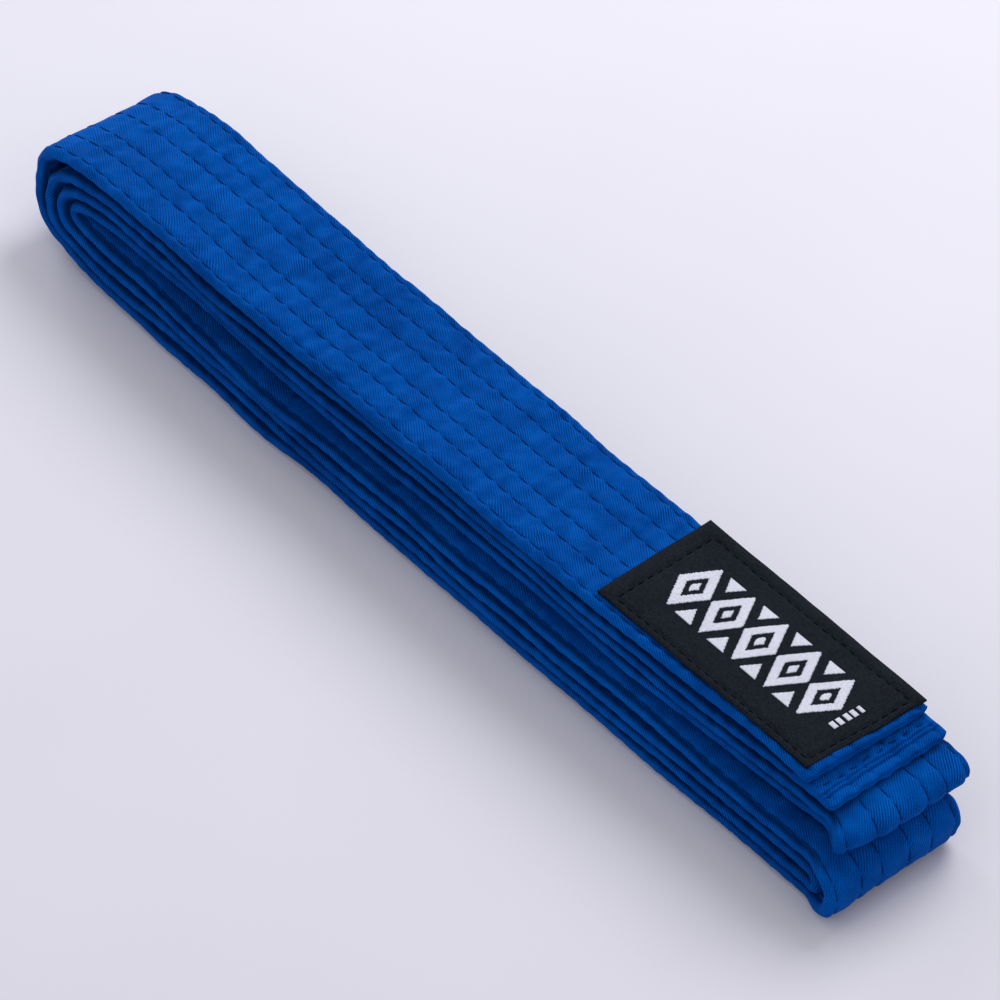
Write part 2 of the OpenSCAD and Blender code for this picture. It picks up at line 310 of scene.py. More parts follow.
def phase(s, y):
    """Stitch count along the belt: stitches are centred at whole numbers plus a half."""
    return (s / STITCH_PITCH + PHASE_SLANT * y + ripple(41, s, y, *SLOW_UNEVEN)
            + ripple(42, s, y * 3, *QUICK_UNEVEN))


def row_y(s, row):
    return ROWS[row] + ripple(50 + row, s, 0, *ROW_WANDER)


# Along each stitch row, a narrow cut at the thread lies in a wide dip, and both are deeper
# where the belt turns. Puckers beside the rows follow the stitches, creases lie anywhere.
TIGHT_BEND = 0.18  # curvature, per mm, that counts as a full turn
CUT_HALF, CUT, CUT_STITCH, CUT_TURN = 0.45, 0.34, 0.04, 0.12
DIP_HALF, DIP, DIP_TURN = 1.4, 0.20, 0.04
PUCKER_HALF, PUCKER_GAP, PUCKER_BASE, PUCKER = 2.2, 0.6, 0.08, 0.22
PUCKER_UNEVEN, PUCKER_TURN = (0.4, 30), 0.5
CREASES = ((61, 0.10, 6), (66, 0.13, 12), (71, 0.09, 26))  # seed, height, size
CROWN, CROWN_TURN = 0.06, 0.04
DRAWN, DRAWN_X, DRAWN_OVER = 0.7, 4.0, 12.0  # cloth drawn tight at the far noses


def bump(d, half):
    return np.exp(-((d / half) ** 2))


def swell(s, y, side):
    """Half thickness of the padded belt at distance s and sideways place y."""
    base = along(s, half_base)
    curl = np.clip(np.abs(along(s, bend)) / TIGHT_BEND, 0, 1)
    drawn = 1 - DRAWN * smooth((DRAWN_X - along(s, path_x)) / DRAWN_OVER)
    turns = np.cos(TURN * phase(s, y))
    near_row = 0.0
    valley = 0.0
    for row, strength in enumerate(ROW_STRENGTH):
        d = y - row_y(s, row)
        cut = CUT - CUT_STITCH * turns + CUT_TURN * curl
        valley = valley + strength * bump(d, CUT_HALF) * cut
        valley = valley + strength * bump(d, DIP_HALF) * (DIP + DIP_TURN * curl)
        near_row = near_row + strength * (bump(d, PUCKER_HALF) - bump(d, PUCKER_GAP))
    valley = valley * drawn
    uneven = 1 + ripple(76, s, y, *PUCKER_UNEVEN)
    puckers = turns * (PUCKER_BASE + PUCKER * near_row) * uneven
    creases = sum(ripple(seed + side, s, y, *crease) for seed, *crease in CREASES)
    height = base + CROWN + CROWN_TURN * curl - valley + puckers * (1 - PUCKER_TURN * curl)
    return height + creases - hem_drop(s, y, side)


def hem_drop(s, y, side):
    """The plain end's hem: a puckered cross seam, then a ledge down to the last fold.
    Under the label at the other end the padding is pressed a little."""
    e = BELT_LENGTH - s
    gathers = GATHERED - GATHER * np.cos(TURN * (y + HEM_SPAN / 2) / HEM_PITCH)
    seam = HEM_SEAM * gathers * bump(e - HEM_SETBACK, HEM_SEAM_HALF)
    wrinkled = smooth((HEM_WRINKLED - e) / 8) * smooth((e - HEM_FOLDS[0] - 0.3) / 1.5)
    wrinkles = ripple(75 + side, s, y, *HEM_WRINKLE) * wrinkled
    ledge = sum(HEM_STEP * smooth((fold - e) / HEM_STEP_OVER)
                + HEM_GROOVE * bump(e - fold, HEM_GROOVE_HALF) for fold in HEM_FOLDS)
    label_end = LABEL_END_DROP * smooth((LABEL_END_ROUND - s) / LABEL_END_ROUND)
    pressed = 0.0 if side > 0 else PRESSED * smooth((PRESSED_TO - s) / 3)
    under_side = ledge if side > 0 else HEM_UNDER * ledge
    return seam + wrinkles + under_side + label_end + pressed


EDGE_STITCH = 0.05  # waves of the edge with each stitch, and freely
EDGE_SLOW, EDGE_QUICK = (0.22, 33), (0.06, 9)
EDGE_CURL = (0.3, 38)
PINCH, PINCH_LENGTH, PINCH_EASE = 1.5, 26.0, 12.0
PINCH_Y, PINCH_OVER = 6.0, 14.0


def edge_place(s, sign):
    """Half width of the belt, with a little waviness from the edge stitches."""
    y = sign * (WIDTH / 2 - 2)
    return (WIDTH / 2 + EDGE_STITCH * np.cos(TURN * phase(s, y))
            + ripple(81 + sign, s, 0, *EDGE_SLOW) + ripple(84 + sign, s, 0, *EDGE_QUICK))


def place(s, y, offset):
    """World mm of a point offset off the middle line, s and y and offset alike in shape."""
    tx, tz = along(s, tangent_x), along(s, tangent_z)
    lift = edge_curl(s, y)
    x = along(s, path_x) - tz * (offset + lift)
    z = along(s, path_z) + tx * (offset + lift)
    askew = FAR_SKEW * smooth((FAR_SKEW_X - x) / FAR_SKEW_OVER)
    flare = np.where(y < 0, -along(s, flare_left), along(s, flare_right))
    world_y = y + along(s, side_shift) + flare * np.abs(y / (WIDTH / 2)) ** 1.5
    end_askew = END_SKEW * smooth((END_SKEW_LENGTH - s) / END_SKEW_LENGTH)
    end_askew = end_askew * (world_y + WIDTH / 2)
    return np.stack([x + askew * world_y + end_askew, world_y, np.maximum(z, FLOOR_GAP)], -1)


def edge_curl(s, y):
    """Slow lift and droop of the belt's edges, and the upper near fold's pinched -Y edge."""
    outer = np.clip(np.abs(y) / (WIDTH / 2), 0, 1) ** 3
    pinch = smooth((PINCH_LENGTH - np.abs(s - upper_fold_nose)) / PINCH_EASE)
    pinch = pinch * smooth((-y - PINCH_Y) / PINCH_OVER)
    return outer * ripple(91, s, np.sign(y) * 40, *EDGE_CURL) + PINCH * pinch


INNER_SHARE = 0.93  # of the inside radius that the cloth may take up


def limited(s, side, height):
    """Height cut back on the inside of a tight fold, where the cloth is pressed."""
    inner = along(s, bend) * side
    most = INNER_SHARE / np.maximum(inner, 1e-3)
    return np.where(inner > 0, np.minimum(height, most), height)


FLAT = WIDTH / 2 - EDGE  # half width between the rolled edges
ROW_COLUMNS = np.array([-0.75, -0.35, 0, 0.35, 0.75])  # mesh columns beside a stitch row
COLUMN_GAP = 0.4
EDGE_SHARPNESS = 1.9
across = np.linspace(-FLAT, FLAT, 45)
by_row = (ROWS[:, None] + ROW_COLUMNS).ravel()
across = across[np.min(np.abs(across[:, None] - by_row), 1) > COLUMN_GAP]
by_row = by_row[np.abs(by_row) <= FLAT]
across = np.sort(np.concatenate([across, by_row]))
turn = np.linspace(0, math.pi / 2, 8)[1:]
across_y = np.concatenate([-FLAT - EDGE * np.sin(turn[::-1]), across,
                           FLAT + EDGE * np.sin(turn)])
across_round = np.concatenate([np.cos(turn[::-1]), np.ones(len(across)), np.cos(turn)])
across_round[[0, -1]] = 0
COUNT = len(across_y)


def section(s, side, inset):
    """Grid of world points over one face of the belt, rows along s, each inset by its mm."""
    s_grid = np.repeat(s[:, None], COUNT, 1)
    y_grid = np.repeat(across_y[None, :], len(s), 0)
    reach = np.where(y_grid > 0, edge_place(s_grid, 1), edge_place(s_grid, -1)) - inset[:, None]
    outer = np.clip(np.abs(y_grid) / (WIDTH / 2), 0, 1)
    y_real = y_grid * (1 + (reach / (WIDTH / 2) - 1) * outer**4)
    for row, middle in enumerate(ROWS):
        drawn = bump(y_grid - middle, ROW_REACH)
        y_real = y_real + (row_y(s_grid, row) - middle) * drawn
    height = limited(s_grid, side, swell(s_grid, y_real, side)) - inset[:, None]
    return place(s_grid, y_real, side * height * across_round[None, :] ** EDGE_SHARPNESS)


# Painted shade in the clefts between layers, a narrow band inside each edge
CLEFT_OUTER, CLEFT_INNER, CLEFT_EASE = 19.6, 17.6, 0.8
NOSE_OPEN, PLAIN_OPEN = 12.0, 14.0  # lengths without a layer on top, at noses and plain end


def painted_cleft_shade(s, side):
    """How much of the cleft's painted shade falls on each point of one face, 0 to 1."""
    covered = 1 - smooth((along(s, path_x) - NEAR_NOSE_X + NOSE_OPEN) / (NOSE_OPEN / 2))
    if side < 0:
        covered = covered * (s > lower_fold_nose)
    else:
        covered = covered * (s < BELT_LENGTH - PLAIN_OPEN)
    reach = np.abs(across_y)
    band = smooth((CLEFT_OUTER - reach) / CLEFT_EASE) * smooth((reach - CLEFT_INNER) / CLEFT_EASE)
    return covered[:, None] * band[None, :]


# ------------------------ mesh building
def add_object(name, data):
    obj = bpy.data.objects.new(name, data)
    bpy.context.scene.collection.objects.link(obj)
    return obj


def cells(grid):
    """The four corners of every cell of a grid, in order round the cell."""
    return np.stack([grid[:-1, :-1], grid[1:, :-1], grid[1:, 1:], grid[:-1, 1:]], 2)


def new_object(name, vertices, faces, uvs=None, sharp=None, shade=None):
    """Mesh object from mm points. sharp lists its flat faces, shade is the painted shade of its
    clefts.
    """
    mesh = bpy.data.meshes.new(name)
    mesh.from_pydata(((np.asarray(vertices) + [AXIS_X, 0, 0]) * MM).tolist(), [], faces)
    smooth_faces = np.ones(len(mesh.polygons), bool)
    if sharp is not None:
        smooth_faces[sharp] = False
    mesh.polygons.foreach_set("use_smooth", smooth_faces)
    if uvs is not None:
        layer = mesh.uv_layers.new(name="Weave")
        layer.data.foreach_set("uv", np.asarray(uvs, np.float32).ravel())
    if shade is not None:
        values = np.zeros(len(mesh.vertices), np.float32)
        values[:len(shade)] = shade
        mesh.attributes.new("Painted_Cleft_Shade", "FLOAT", "POINT").data.foreach_set("value", values)
    mesh.validate()
    mesh.update()
    return add_object(name, mesh)


def strip_piece(name, s0, s1, cap0=None, cap1=None):
    """Closed padded strip from s0 to s1. A cap is a lip length, or None where the belt
    goes on: there a slightly smaller tongue reaches into the next piece and hides the cut."""
    n = max(3, int(round((s1 - s0) / (ROW_STEP if s1 - s0 > 300 else FINE_STEP))) + 1)
    s = np.linspace(s0, s1, n)
    if cap1 is not None:
        fine = np.arange(s1 - HEM_FINE, s1, HEM_STEP_LENGTH)
        s = np.concatenate([s[s < s1 - HEM_FINE], fine, [s1]])
    before = [s0 - TONGUE] if cap0 is None else []
    after = [s1 + TONGUE] if cap1 is None else []
    s = np.concatenate([before, s, after])
    inset = np.where((s < s0) | (s > s1), TONGUE_INSET, 0.0)
    n = len(s)
    top, bottom = section(s, 1, inset), section(s, -1, inset)
    ring = np.concatenate([top, bottom[:, COUNT - 2:0:-1]], 1)
    # painted shade of the clefts between layers, for each vertex of the ring
    shade = np.concatenate([painted_cleft_shade(s, 1), painted_cleft_shade(s, -1)[:, COUNT - 2:0:-1]], 1).ravel()
    size = ring.shape[1]
    i = np.arange(n - 1)[:, None] * size
    j = np.arange(size)[None, :]
    k = (j + 1) % size
    quads = np.stack([i + j, i + size + j, i + size + k, i + k], -1).reshape(-1, 4)
    # Distance round the section, scaled so that the weave meets itself
    middle = np.concatenate([ring[n // 2], ring[n // 2][:1]])
    around = np.linalg.norm(np.diff(middle, axis=0), axis=1)
    v = np.concatenate([[0], np.cumsum(around)])
    v = v / v[-1] * PERIMETER
    uvs = [cells(np.stack(np.meshgrid(s, v, indexing="ij"), -1)).reshape(-1, 2)]
    faces = quads.tolist()
    vertices = list(map(tuple, ring.reshape(-1, 3)))
    flat = []
    for cap, row, flip in ((cap0, 0, True), (cap1, n - 1, False)):
        start = len(faces)
        add_cap(vertices, faces, uvs, ring[row], row * size, size, s[row], cap, flip)
        if cap is None:
            flat.extend(range(start, len(faces)))
    return new_object(name, vertices, faces, np.vstack(uvs), flat or None, shade)


LIP_MIDDLE = 0.35  # how far the groove between the lips stands out
LIP_COLUMNS, LIP_EVEN, LIP_WAVE_RATE = 11, 0.75, 1.1
LIP_WEAVE = 0.35  # mm of weave per mesh column of the cap


def add_cap(vertices, faces, uvs, ring, base, size, s, lip, flip):
    """Closes one end: flat across, or bulged out in two lips of the given length."""
    top = base + np.arange(COUNT)
    bottom = np.concatenate([[base], base + size - 1 - np.arange(COUNT - 2), [base + COUNT - 1]])
    direction = np.array([along(s, tangent_x), 0, along(s, tangent_z)]) * (-1 if flip else 1)
    columns = [top]
    if lip is not None:
        for q in np.linspace(0, 1, LIP_COLUMNS + 2)[1:-1]:
            lobe = abs(2 * q - 1)
            wavy = LIP_EVEN + (1 - LIP_EVEN) * np.cos(across_y * LIP_WAVE_RATE)
            out = lip * (1 - abs(2 * lobe - 1) ** 3) * wavy
            out = out + lip * LIP_MIDDLE * (1 - lobe**4)
            points = ring[:COUNT] * (1 - q)
            low = ring[bottom - base]
            points = points + low * q + direction * (out * across_round)[:, None]
            column = len(vertices) + np.arange(COUNT)
            column[0], column[-1] = top[0], top[-1]
            vertices.extend(map(tuple, points))
            columns.append(column)
    columns.append(bottom)
    grid = []
    for number, (a, b) in enumerate(zip(columns[:-1], columns[1:])):
        for c in range(COUNT - 1):
            face = [int(a[c]), int(b[c]), int(b[c + 1]), int(a[c + 1])]
            u0, u1 = s + number * LIP_WEAVE, s + number * LIP_WEAVE + LIP_WEAVE
            place_uv = [(u0, across_y[c]), (u1, across_y[c]),
                        (u1, across_y[c + 1]), (u0, across_y[c + 1])]
            keep = [k for k in range(4) if face[k] not in face[:k]]
            face, place_uv = [face[k] for k in keep], [place_uv[k] for k in keep]
            if flip:
                face, place_uv = face[::-1], place_uv[::-1]
            faces.append(face)
            grid.extend(place_uv)
    uvs.append(np.array(grid))


THREAD_SIDES = 6
THREAD_ROWS = 5
ALONG_STITCH = np.linspace(-0.5, 0.5, THREAD_ROWS)
THREAD_WIDTH, THREAD_HEIGHT = 0.14, 0.16  # half sizes of a stitch's section
BORDER_THREAD_WIDTH, BORDER_THREAD_HEIGHT = 0.2, 0.18
TAPER, TIP_SHARE = 0.97, 0.05  # how far a stitch narrows at its tips
SHORTEST, LONGEST = 0.82, 1.08  # uneven stitch lengths
AHEAD, SEARCH_STEP = 0.05, 0.25  # mm, to find stitches' directions and places
ROW_SINK = np.array([-0.02, 0.11, 0.12, 0.11, -0.02])  # height of a stitch over its valley
HEM_SINK = np.array([-0.3, 0.02, 0.08, 0.02, -0.3])
HEM_STITCH_SHARE, HEM_WAVE, HEM_WAVE_RATE = 0.78, 0.35, 0.9


def threads(name, centres, forwards, ups, width=THREAD_WIDTH, height=THREAD_HEIGHT):
    """Short thread stitches as one mesh. centres has the points along each stitch."""
    centres = np.asarray(centres, float)
    count, rows = centres.shape[:2]
    sides = np.cross(ups, forwards)
    angle = np.arange(THREAD_SIDES) * TURN / THREAD_SIDES
    taper = np.sqrt(np.clip(1 - np.linspace(-TAPER, TAPER, rows) ** 6, TIP_SHARE, 1))
    across_part = (np.cos(angle) * width)[None, None, :, None] * sides[:, :, None, :]
    up_part = (np.sin(angle) * height)[None, None, :, None] * ups[:, :, None, :]
    slim = taper[None, :, None, None]
    rings = centres[:, :, None, :] + across_part * slim + up_part * slim
    vertices = rings.reshape(-1, 3)
    base = (np.arange(count) * rows * THREAD_SIDES)[:, None, None]
    r = (np.arange(rows - 1) * THREAD_SIDES)[None, :, None]
    a = np.arange(THREAD_SIDES)[None, None, :]
    b = (a + 1) % THREAD_SIDES
    quads = np.stack([base + r + a, base + r + b, base + r + THREAD_SIDES + b,
                      base + r + THREAD_SIDES + a], -1).reshape(-1, 4).tolist()
    ends = []
    for first in base.ravel():
        last = first + (rows - 1) * THREAD_SIDES
        ends.append([int(first + k) for k in range(THREAD_SIDES)][::-1])
        ends.append([int(last + k) for k in range(THREAD_SIDES)])
    return new_object(name, vertices, quads + ends)


def unit(vectors):
    return vectors / np.linalg.norm(vectors, axis=-1, keepdims=True)


def flat_seam(name, stitches, ups, *half_sizes):
    """Stitches of a seam that lies level. ups has 1 or -1, the way each of them faces."""
    stitches = np.array(stitches)
    up = np.zeros(stitches.shape)
    up[..., 2] = np.array(ups)[:, None]
    return threads(name, stitches, unit(np.gradient(stitches, axis=1)), up, *half_sizes)


def stitched_rows(name, s0, s1, clear0, clear1):
    """The six rows of stitches on both faces between s0 and s1. Each stitch whose centre
    lies clear0 and clear1 inside the two ends belongs to this piece."""
    centres, forwards, ups = [], [], []
    fine = np.arange(s0 - STITCH_PITCH, s1 + STITCH_PITCH, SEARCH_STEP)
    local = ALONG_STITCH * STITCH_LENGTH
    for side in (1, -1):
        for row in range(len(ROWS)):
            p = phase(fine, row_y(fine, row))
            whole = np.arange(math.ceil(p[0] - 0.5), math.floor(p[-1] - 0.5) + 1) + 0.5
            middle = np.interp(whole, p, fine)
            middle = middle[(middle >= s0 + clear0) & (middle < s1 - clear1)]
            if not len(middle):
                continue
            draw = np.random.default_rng(len(centres) + 7)
            uneven = draw.uniform(SHORTEST, LONGEST, (len(middle), 1))
            s = middle[:, None] + local[None, :] * uneven
            y = row_y(s, row)
            height = limited(s, side, swell(s, y, side)) + ROW_SINK[None, :]
            centres.append(place(s, y, side * height))
            ahead = place(s + AHEAD, row_y(s + AHEAD, row), side * height)
            forwards.append(unit(ahead - centres[-1]))
            tx, tz = along(s, tangent_x), along(s, tangent_z)
            ups.append(side * np.stack([-tz, 0 * tz, tx], -1))
    return threads(name, np.concatenate(centres), np.concatenate(forwards),
                   np.concatenate(ups))


# ------------------------ materials
def settle(node, **values):
    """Sets inputs, named with _ for a space."""
    for key, value in values.items():
        node.inputs[key.replace("_", " ")].default_value = value


def material(name):
    mat = bpy.data.materials.new(name)
    mat.use_nodes = True
    nodes, links = mat.node_tree.nodes, mat.node_tree.links
    return mat, nodes, links, nodes["Principled BSDF"]


class Graph:
    """Short helpers over a node tree."""

    def __init__(self, nodes, links):
        self.nodes, self.links = nodes, links

    def plug(self, value, socket):
        if isinstance(value, bpy.types.NodeSocket):
            self.links.new(value, socket)
        else:
            socket.default_value = value

    def math(self, kind, *values, clamp=False):
        node = self.nodes.new("ShaderNodeMath")
        node.operation, node.use_clamp = kind, clamp
        for value, socket in zip(values, node.inputs):
            self.plug(value, socket)
        return node.outputs[0]

    def times(self, a, b):
        return self.math("MULTIPLY", a, b)

    def total(self, first, *others):
        for other in others:
            first = self.math("ADD", first, other)
        return first

    def centred(self, value, weight):
        return self.times(self.math("SUBTRACT", value, 0.5), weight)

    def wave(self, turn):
        """A sine between 0 and 1."""
        return self.total(self.times(self.math("SINE", turn), 0.5), 0.5)

    def noise(self, vector, scale, detail=2.0, rough=0.5):
        node = self.nodes.new("ShaderNodeTexNoise")
        settle(node, Scale=scale, Detail=detail, Roughness=rough)
        self.links.new(vector, node.inputs["Vector"])
        return node.outputs["Fac"]

    def ramp(self, value, stops):
        node = self.nodes.new("ShaderNodeValToRGB")
        ramp = node.color_ramp
        while len(ramp.elements) < len(stops):
            ramp.elements.new(0.5)
        for element, (at, colour) in zip(ramp.elements, stops):
            element.position, element.color = at, (*colour, 1)
        self.links.new(value, node.inputs["Fac"])
        return node.outputs["Color"]

    def bump(self, height, distance, strength=1.0, under=None):
        node = self.nodes.new("ShaderNodeBump")
        settle(node, Distance=distance, Strength=strength)
        self.links.new(height, node.inputs["Height"])
        if under is not None:
            self.links.new(under, node.inputs["Normal"])
        return node.outputs["Normal"]

    def split(self, vector):
        node = self.nodes.new("ShaderNodeSeparateXYZ")
        self.links.new(vector, node.inputs[0])
        return node.outputs["X"], node.outputs["Y"]


# painted shade: how far the base colour darkens in the clefts between layers
CLEFT_PAINTED_SHADE = 0.72
RIB_ANGLE = math.radians(34)
RIB_PITCH = 0.66
RIB_SHARPNESS = 0.7
RIB_DRIFT, DRIFT_SCALE = 3.2, 0.35  # slow wander of the ribs, in radians
FLOAT_ALONG, FLOAT_ACROSS = 0.62, 1.9  # mm per float of yarn
CLEAR_SCALE, CLEAR_GAIN, CLEAR_SHIFT = 0.13, 2.6, -0.75  # patches where the ribs show
FUZZ_SCALE, DIMPLE_SCALE = 3.2, 0.55  # per mm of cloth
PATCH_SCALE, WEAR_SCALE, MOTTLE_SCALE = 55, 16, 190  # per metre of space
RIB_TONE, FUZZ_TONE, FLOAT_TONE, TONE_SHIFT = 0.7, 1.1, 0.04, -0.09
MOTTLE_TONE, PATCH_TONE, WEAR_TONE = 0.5, 0.45, 0.4
TONE_STOPS = (0.12, 0.5, 0.95)
RIB_RELIEF, DIMPLE_RELIEF, DIMPLE_STRENGTH = 0.00011, 0.00045, 0.6
FLOAT_RELIEF, FUZZ_RELIEF = 0.07, 0.9
TWILL_ROUGHNESS, FUZZ_ROUGHNESS = 0.68, 0.25


def twill(name, deep, mid, light):
    """Cotton twill: slanted ribs of short floats, soft fuzz and slight wear, with painted shade
    in the clefts between layers.
    """
    mat, nodes, links, shader = material(name)
    g = Graph(nodes, links)
    uv = nodes.new("ShaderNodeUVMap")
    uv.uv_map = "Weave"
    where = nodes.new("ShaderNodeTexCoord").outputs["Object"]
    u, v = g.split(uv.outputs["UV"])
    ribs_round = round(PERIMETER * math.cos(RIB_ANGLE) / RIB_PITCH)
    slow = g.centred(g.noise(uv.outputs["UV"], DRIFT_SCALE, 2), RIB_DRIFT)
    turn = g.total(g.times(v, TURN * ribs_round / PERIMETER),
                   g.times(u, TURN * math.sin(RIB_ANGLE) / RIB_PITCH), slow)
    rib = g.math("POWER", g.wave(turn), RIB_SHARPNESS)
    floats = g.wave(g.math("SUBTRACT", g.times(u, TURN / FLOAT_ALONG),
                           g.times(v, TURN / FLOAT_ACROSS)))
    fuzz = g.noise(uv.outputs["UV"], FUZZ_SCALE, 4, 0.7)
    clear = g.math("MULTIPLY_ADD", g.noise(uv.outputs["UV"], CLEAR_SCALE, 3, 0.6),
                   CLEAR_GAIN, CLEAR_SHIFT, clamp=True)
    rib_tone = g.times(g.math("SUBTRACT", rib, 0.5), clear)
    tone = g.total(g.times(rib_tone, RIB_TONE), g.times(fuzz, FUZZ_TONE),
                   g.times(floats, FLOAT_TONE),
                   g.centred(g.noise(where, MOTTLE_SCALE, 2, 0.5), MOTTLE_TONE), TONE_SHIFT,
                   g.centred(g.noise(where, PATCH_SCALE, 3, 0.6), PATCH_TONE),
                   g.centred(g.noise(where, WEAR_SCALE, 3, 0.55), WEAR_TONE))
    colour = g.ramp(tone, list(zip(TONE_STOPS, (deep, mid, light))))
    # painted shade: the base colour is darkened in the clefts between layers
    cleft = nodes.new("ShaderNodeAttribute")
    cleft.attribute_name = "Painted_Cleft_Shade"
    shaded = nodes.new("ShaderNodeVectorMath")
    shaded.operation = "SCALE"
    links.new(colour, shaded.inputs[0])
    links.new(g.math("SUBTRACT", 1.0, g.times(cleft.outputs["Fac"], CLEFT_PAINTED_SHADE)),
              shaded.inputs["Scale"])
    links.new(shaded.outputs["Vector"], shader.inputs["Base Color"])
    links.new(g.total(g.times(fuzz, FUZZ_ROUGHNESS), TWILL_ROUGHNESS),
              shader.inputs["Roughness"])
    height = g.total(g.times(rib, clear), g.times(floats, FLOAT_RELIEF),
                     g.times(fuzz, FUZZ_RELIEF))
    dimples = g.bump(g.noise(uv.outputs["UV"], DIMPLE_SCALE, 3, 0.6), DIMPLE_RELIEF,
                     DIMPLE_STRENGTH)
    links.new(g.bump(height, RIB_RELIEF, 1.0, dimples), shader.inputs["Normal"])
    settle(shader, Specular_IOR_Level=0.06, Specular_Tint=(0.0, 0.3, 1.0, 1),
           Sheen_Weight=0.22, Sheen_Roughness=0.5, Sheen_Tint=(0.0, 0.16, 0.8, 1))
    return mat


THREAD_TWIST, PLY_RELIEF = 900.0, 0.00005
THREAD_ROUGHNESS, PLY_ROUGHNESS = 0.6, 0.2


def thread(name, dark, light):
    """Sewing thread: fine slanted plies in two tones."""
    mat, nodes, links, shader = material(name)
    g = Graph(nodes, links)
    where = nodes.new("ShaderNodeTexCoord").outputs["Object"]
    plies = nodes.new("ShaderNodeTexWave")
    plies.bands_direction = "DIAGONAL"
    settle(plies, Scale=THREAD_TWIST, Distortion=1.5)
    links.new(where, plies.inputs["Vector"])
    colour = g.ramp(plies.outputs["Fac"], [(0.2, dark), (0.9, light)])
    links.new(colour, shader.inputs["Base Color"])
    links.new(g.total(g.times(plies.outputs["Fac"], PLY_ROUGHNESS), THREAD_ROUGHNESS),
              shader.inputs["Roughness"])
    links.new(g.bump(plies.outputs["Fac"], PLY_RELIEF), shader.inputs["Normal"])
    settle(shader, Specular_IOR_Level=0.08, Specular_Tint=(*light, 1))
    return mat


YARN_PITCH, WEFT_RATIO = 0.42, 0.7  # mm per two warp yarns, and the weft's share of it
GRAIN_SCALE, HAZE_SCALE = 1500, 70  # per metre
OVER_UNDER, WARP_TONE = 0.25, 0.22
WEAVE_TONE, GRAIN_TONE, HAZE_TONE, WOVEN_SHIFT = 0.42, 0.85, 0.15, -0.17
WOVEN_STOPS = (0.38, 0.74)
WOVEN_ROUGHNESS, GRAIN_ROUGHNESS, GRAIN_RELIEF = 0.55, 0.25, 0.6


def woven(name, dark, light, relief, shine):
    """Fine label weave: warp and weft yarns over and under, with a slight haze."""
    mat, nodes, links, shader = material(name)
    g = Graph(nodes, links)
    where = nodes.new("ShaderNodeTexCoord").outputs["Object"]
    x, y = g.split(where)
    warp = g.math("SINE", g.times(y, TURN / (YARN_PITCH * MM)))
    weft = g.math("SINE", g.times(x, TURN / (YARN_PITCH * WEFT_RATIO * MM)))
    weave = g.total(g.times(g.times(warp, weft), OVER_UNDER), 0.5,
                    g.times(warp, WARP_TONE))
    grain = g.noise(where, GRAIN_SCALE, 3, 0.75)
    haze = g.noise(where, HAZE_SCALE, 4, 0.6)
    tone = g.total(g.times(weave, WEAVE_TONE), g.times(grain, GRAIN_TONE),
                   g.times(haze, HAZE_TONE), WOVEN_SHIFT)
    links.new(g.ramp(tone, list(zip(WOVEN_STOPS, (dark, light)))), shader.inputs["Base Color"])
    links.new(g.total(g.times(grain, GRAIN_ROUGHNESS), WOVEN_ROUGHNESS),
              shader.inputs["Roughness"])
    height = g.total(weave, g.times(grain, GRAIN_RELIEF))
    links.new(g.bump(height, relief), shader.inputs["Normal"])
    settle(shader, Specular_IOR_Level=shine)
    return mat


blue = twill("Blue_Cotton_Twill", (0.0001, 0.017, 0.105), (0.0001, 0.053, 0.275),
             (0.0004, 0.10, 0.45))
# the thread is coloured darker than the cloth: painted shade of the grooves its stitches lie in
blue_thread = thread("Blue_Thread", (0.0002, 0.009, 0.055), (0.0004, 0.022, 0.125))
black_label = woven("Black_Woven_Label", (0.0008, 0.0014, 0.0026), (0.0125, 0.0175, 0.0285),
                    relief=0.0001, shine=0.05)
black_thread = thread("Black_Thread", (0.0003, 0.0003, 0.0004), (0.0012, 0.0013, 0.0016))
white_yarn = woven("White_Woven_Yarn", (0.46, 0.47, 0.56), (0.70, 0.71, 0.80),
                   relief=0.00008, shine=0.2)


def finish_piece(obj, mat, nodes):
    obj.data.materials.append(mat)
    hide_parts(*nodes)
    return obj


# ------------------------ the belt's pieces
SPINE_REACH = 4.8  # how far behind each nose a far loop's bend would start; bend_between does not use it
CUT_MARGIN = 0.5  # a loop's bend would end this far before its cut; bend_between does not use it
LIFT_SOFTNESS = 30.0  # length over which a lifted end would bend; bend_between does not use it
LIFT_EARLY = 5.0  # the free ends' bend would start this far before their hinge; bend_between does not use it
LABEL_END_LIP, PLAIN_END_LIP = 0.5, 0.9
LABEL_END_CLEAR = 0.4  # gap from the label's end of the belt to its first stitch


def bend_between(obj, a, b, x0, x1):
    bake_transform(obj)


def belt_stretch(name, s0, s1, nodes, motion, caps=(None, None), clear=(0, 0)):
    """Cover and stitches of one stretch of belt. motion is a body to attach them to, or a bend's
    four facts, which are not used: such pieces are only baked in place.
    """
    cover = strip_piece(name + "_Fabric", s0, s1, *caps)
    stitches = stitched_rows(name + "_Stitches", s0, s1, *clear)
    finish_piece(cover, blue,
                 [n + "_Cover" for n in nodes] + [n + "_Core" for n in nodes])
    finish_piece(stitches, blue_thread, [n + "_Stitching" for n in nodes])
    for obj in (cover, stitches):
        if isinstance(motion, str):
            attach(obj, motion)
        else:
            bend_between(obj, *motion)
    return cover, stitches


s_out, s_in = loop_cuts[::2], loop_cuts[1::2]
for loop, a, nose, b in zip(LOOP_ORDER, s_out, noses, s_in):
    nose_x = along(nose, path_x)
    spine = nose_x + SPINE_REACH
    descending = along(a, path_z) > along(b, path_z)
    first, second = ("Upper", "Lower") if descending else ("Lower", "Upper")
    for part, (p, q) in ((first, (a, nose)), (second, (nose, b))):
        upper = part == "Upper"
        motion = (("fold_spine", "upper_half", spine, LOOP_CUT_X - CUT_MARGIN) if upper
                  else ("lower_half", "fold_spine", LOOP_CUT_X - CUT_MARGIN, spine))
        belt_stretch(f"Far_Loop_{loop}_{part}", p, q, [f"Far_Loop_{loop}"], motion)

